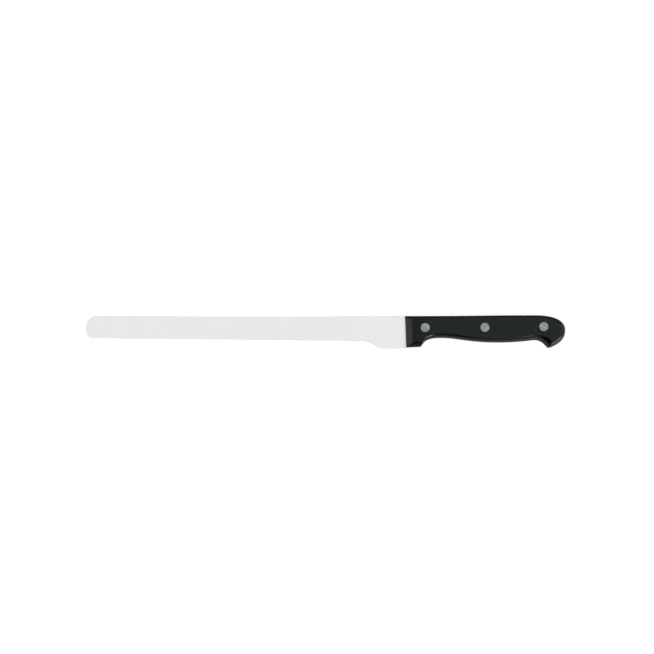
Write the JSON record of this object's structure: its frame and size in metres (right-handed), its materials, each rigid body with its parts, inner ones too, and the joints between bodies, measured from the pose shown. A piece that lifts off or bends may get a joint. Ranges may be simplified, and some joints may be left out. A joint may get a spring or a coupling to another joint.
{
  "type": "ham knife",
  "caption": "Slicing knife with a long narrow round-tipped blade, a stepped heel and a riveted moulded handle with a guard and a rear hook.",
  "frame": {"origin": "on the surface that the knife lies on, under the middle of its bounding box", "axes": "+X along the knife from the blade's tip to the handle's end, +Y from the cutting edge to the spine, +Z out of the knife's left side, which faces up when it lies on its right side"},
  "size_m": [0.3748, 0.0258, 0.016],
  "materials": {
    "blade_steel": "stainless steel with a fine satin grind across the blade",
    "handle_plastic": "black moulded plastic with a fine matte grain",
    "rivet_metal": "grey metal, ground flush with the handle and finely brushed"
  },
  "bodies": {
    "root": {"blade": "blade_steel", "left_scale": "handle_plastic", "right_scale": "handle_plastic", "front_rivet_pin": "rivet_metal", "front_rivet_socket": "rivet_metal", "middle_rivet_pin": "rivet_metal", "middle_rivet_socket": "rivet_metal", "rear_rivet_pin": "rivet_metal", "rear_rivet_socket": "rivet_metal"}
  },
  "joints": []
}
